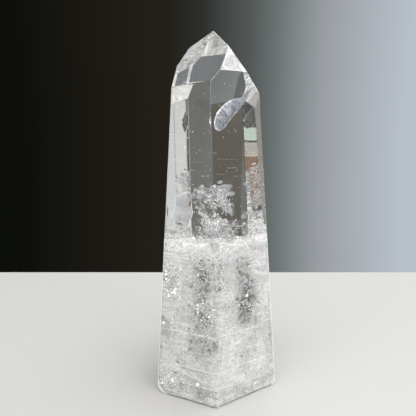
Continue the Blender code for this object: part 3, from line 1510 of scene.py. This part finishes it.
    def build(self) -> None:
        """Build the knots of torn cracks, then the bright, thin, dark and yellow ones."""
        rng = np.random.default_rng(self.seed)
        wave = clouds("torn wave", self.crumple_size, 3)
        torn = []
        for knot in self.knots:
            for _ in range(knot.count):
                middle = tuple(m + s * t for m, s, t in zip(knot.middle, knot.half, rng.uniform(-1, 1, 3)))
                tilt = (rng.uniform(*self.torn_tilts), rng.uniform(*self.torn_turns))
                sheet = Tear(middle, tilt, *rng.uniform(*knot.sizes, 2), self.crumple)
                torn.append(self.tear(sheet, wave, self.torn_cells, self.torn_lobes))
        finish = OpenCrack(
            "torn_crack_gas_film",
            middle_alpha=0.7,
            middle_tint="f4f4f4",
            mirror=0.6,
            roughness=0.2,
            tear_size=0.9,
        )
        self.dress(join_as("torn_cracks", torn), finish.material())
        kinds = (
            ("bright_cracks", self.bright, OpenCrack("bright_crack_gas_film", 0.9, 1, "f4f5f7", mirror=0.85)),
            ("thin_cracks", self.thin, OpenCrack("thin_crack_gas_film", 0.5, 0.5, "e4e6e8", tear_size=0.5)),
            # painted shade: the dark cracks' dark grey film
            ("painted_shade_cracks", self.dark, OpenCrack("painted_shade_crack_gas_film", 0.9, 0.6, "3a3734", "6c6862", 0.3)),
            ("yellow_glints", self.yellow, OpenCrack("yellow_glint_gas_film", 1, 1, "e8e27a", "cfc860", 0.3)),
        )
        for name, tears, finish in kinds:
            sheets = [self.tear(tear, wave, self.tear_cells, self.tear_lobes) for tear in tears]
            self.dress(join_as(name, sheets), finish.material())


@dataclass(frozen=True)
class SoftBox:
    """One soft light: where it stands as seen from the stone, its size, and how bright its face is."""

    name: str
    turn: float  # degrees round +Z from the front: positive is towards +X
    lift: float  # degrees above level
    distance: float  # metres
    width: float  # metres
    height: float  # metres
    radiance: float
    colour: str = "ffffff"

    def build(self) -> None:
        """Add the light, facing the stone."""
        away = direction(self.turn, self.lift)
        aim = Vector((0, 0, LIGHTS_AIM * MM))
        bpy.ops.object.light_add(type="AREA", location=aim + away * self.distance)
        lamp = bpy.context.object
        lamp.name = self.name
        lamp.rotation_euler = away.to_track_quat("Z", "Y").to_euler()
        lamp.data.shape = "RECTANGLE"
        lamp.data.size = self.width
        lamp.data.size_y = self.height
        lamp.data.energy = self.radiance * math.pi * self.width * self.height
        lamp.data.color = srgb(self.colour)[:3]
        lamp.visible_camera = False


def direction(turn: float, lift: float) -> Vector:
    """Give the way from the stone to a place.

    Args:
        turn: degrees round +Z from the front, positive towards +X.
        lift: degrees above level.

    Returns:
        The way, with a length of 1.
    """
    turned, lifted = math.radians(turn), math.radians(lift)
    level = math.cos(lifted)
    return Vector((math.sin(turned) * level, -math.cos(turned) * level, math.sin(lifted)))


Shades = tuple[tuple[float, str], ...]


@dataclass
class Studio:
    """A pale table under soft light, in a dark room with a paler right side."""

    table_half: float = 138.0
    table_front: float = 72.0
    table_thick: float = 12.0
    table_gap: float = 0.08
    table_round: float = 1.5
    camera_place: Triple = (-2.297, -127.764, 52.86)
    camera_nearest: float = 5.0
    camera_dip: float = 4.0
    camera_sensor: float = 36.0
    camera_lens: float = 43.27
    behind: Shades = (
        (-0.35, "0d0f0c"),
        (-0.07, "25211a"),
        (-0.01, "2c2f2c"),
        (0.084, "555a59"),
        (0.133, "6c7574"),
        (0.218, "9b9fa4"),
        (0.36, "b8c0c8"),
    )
    before: Shades = (
        (-0.93, "8a8378"),
        (-0.62, "8f8f8c"),
        (-0.5, "d2d3d0"),
        (-0.2, "d2d3d0"),
        (0.0, "7c7974"),
        (0.18, "1c1916"),
        (0.5, "2c2825"),
        (0.75, "c0c1c0"),
        (0.96, "d4d5d4"),
        (1.0, "8a8780"),
    )
    below: str = "50565a"
    below_level: Pair = (-0.36, -0.46)
    before_to_behind: Pair = (-0.3, -0.05)
    dome_turn: float = 25.0
    dome_lift: float = 66.0
    dome_edge: Pair = (54.0, 32.0)
    dome_radiance: float = 3.9
    bounces: tuple[tuple[str, int], ...] = (
        ("max_bounces", 64),
        ("transmission_bounces", 48),
        ("glossy_bounces", 12),
        ("diffuse_bounces", 24),
        ("transparent_max_bounces", 96),
    )
    boxes: tuple[SoftBox, ...] = (
        SoftBox("front fill", 8, 36, 0.55, 0.5, 0.28, 5.2),
        SoftBox("left fill", -38, 34, 0.55, 0.3, 0.22, 3.2),
        SoftBox("right tip light", 123, 49, 0.55, 0.2, 0.2, 3.6),
        SoftBox("left tip light", -150, 49, 0.55, 0.25, 0.25, 0.5),
        SoftBox("grey card behind the left face", 180.6, -2, 0.5, 0.038, 0.36, 0.112, "eef2ee"),
        SoftBox("brown card behind the right face", 185.6, -2, 0.5, 0.05, 0.36, 0.056, "ffecc0"),
        SoftBox("pale strip", 20, -7.05, 0.5, 0.14, 0.0165, 0.68, "def2df"),
        SoftBox("middle pale card", 20, -9.3, 0.5, 0.14, 0.018, 0.46, "efe8d8"),
        SoftBox("lower warm card", 20, -13.9, 0.5, 0.14, 0.066, 0.3, "d2965e"),
        SoftBox("low grey card", 20, -19.8, 0.5, 0.14, 0.032, 0.06, "e8e8e6"),
        SoftBox("card below the front", 2.6, -41, 0.5, 0.1, 0.08, 0.36, "f6ecdc"),
        SoftBox("back fill", 170, 38, 0.6, 0.5, 0.3, 2.2),
    )

    def build(self) -> None:
        """Build the table, lights, surround and camera, and let light bounce often enough for clear stone."""
        self.build_table()
        for box in self.boxes:
            box.build()
        self.build_surround()
        self.build_camera()
        scene = bpy.context.scene
        scene.view_settings.view_transform = "Standard"
        for kind, most in self.bounces:
            setattr(scene.cycles, kind, most)

    def build_table(self) -> None:
        """Build a pale board with softened edges, a hair below the stone."""
        select_only(None)
        middle = -(self.table_thick / 2 + self.table_gap)
        back = (self.table_half - self.table_front) / 2
        bpy.ops.mesh.primitive_cube_add(size=1, location=(0, back * MM, middle * MM))
        table = bpy.context.object
        table.name = "table"
        sizes = (2 * self.table_half, self.table_half + self.table_front, self.table_thick)
        table.scale = tuple(size * MM for size in sizes)
        bpy.ops.object.transform_apply(location=True, rotation=True, scale=True)
        apply_modifier(table, "BEVEL", width=self.table_round * MM, segments=3)
        table.data.materials.append(PaintedBoard().material())

    def build_surround(self) -> None:
        """Light the room: one run of shades behind the stone, another before it, and a soft dome above."""
        world = bpy.data.worlds.new("dark room")
        bpy.context.scene.world = world
        world.use_nodes = True
        tree = world.node_tree
        tree.nodes.clear()
        where = add_node(tree, "ShaderNodeTexCoord").outputs["Generated"]
        apart = add_node(tree, "ShaderNodeSeparateXYZ", {0: where})
        across = apart.outputs["X"]
        back, front = (self.shade_run(tree, across, shades) for shades in (self.behind, self.before))
        depth = add_node(
            tree, "ShaderNodeMapRange", {"Value": apart.outputs["Y"]}, interpolation_type="SMOOTHSTEP",
            values=span(self.before_to_behind),
        )
        walls = add_node(tree, "ShaderNodeMix", {0: depth.outputs[0], 6: front, 7: back}, data_type="RGBA")
        low = add_node(
            tree, "ShaderNodeMapRange", {"Value": apart.outputs["Z"]}, interpolation_type="SMOOTHSTEP",
            values=span(self.below_level),
        )
        room = add_node(tree, "ShaderNodeMix", {0: low.outputs[0], 6: walls.outputs[2]}, data_type="RGBA")
        room.inputs[7].default_value = srgb(self.below)
        up = add_node(
            tree, "ShaderNodeVectorMath", {0: where}, operation="DOT_PRODUCT",
            values={1: direction(self.dome_turn, self.dome_lift)},
        )
        dome = add_node(
            tree, "ShaderNodeMapRange", {"Value": up.outputs["Value"]}, interpolation_type="SMOOTHSTEP",
            values=span(tuple(math.cos(math.radians(edge)) for edge in self.dome_edge)),
        )
        lit = add_node(tree, "ShaderNodeMix", {0: dome.outputs[0], 6: room.outputs[2]}, data_type="RGBA")
        lit.inputs[7].default_value = (*[self.dome_radiance] * 3, 1)
        glow = add_node(tree, "ShaderNodeBackground", {"Color": lit.outputs[2]})
        add_node(tree, "ShaderNodeOutputWorld", {"Surface": glow.outputs[0]})

    def shade_run(self, tree: bpy.types.NodeTree, across: Socket, shades: Shades) -> Socket:
        """Run from shade to shade across the room.

        Args:
            tree: the world's node tree.
            across: the socket that runs from -1 at the left to 1 at the right.
            shades: where each shade stands, and its colour.

        Returns:
            The colour.
        """
        share = add_node(tree, "ShaderNodeMapRange", {"Value": across}, values=span((-1.0, 1.0)))
        ramp = add_node(tree, "ShaderNodeValToRGB", {"Fac": share.outputs[0]})
        stops = ramp.color_ramp.elements
        stops.remove(stops[1])
        for place, shade in shades:
            stops.new((place + 1) / 2).color = srgb(shade)
        stops.remove(stops[0])
        return ramp.outputs["Color"]

    def build_camera(self) -> None:
        """Set the photograph's view: near, a little above the middle, looking slightly down."""
        select_only(None)
        place = Vector(self.camera_place) * MM
        bpy.ops.object.camera_add(location=place, rotation=(math.radians(90 - self.camera_dip), 0, 0))
        camera = bpy.context.object
        camera.data.sensor_width = self.camera_sensor
        camera.data.lens = self.camera_lens
        camera.data.clip_start = self.camera_nearest * MM
        bpy.context.scene.camera = camera


def main() -> None:
    """Build the stone, its flaws and the studio, and note the sizes."""
    logging.basicConfig(level=logging.INFO, format="%(message)s")
    stone = Stone().build()
    log.info("%s: %d faces", stone.name, len(stone.data.polygons))
    facets = stone_facets()
    for kind in (MilkyPart, Flakes, FeatherCrack, SideLens, TornZone):
        flaws = kind(facets)
        flaws.build()
        for piece in flaws.made:
            log.info("%s: %d faces", piece.name, len(piece.data.polygons))
    Studio().build()


if __name__ == "__main__":
    main()
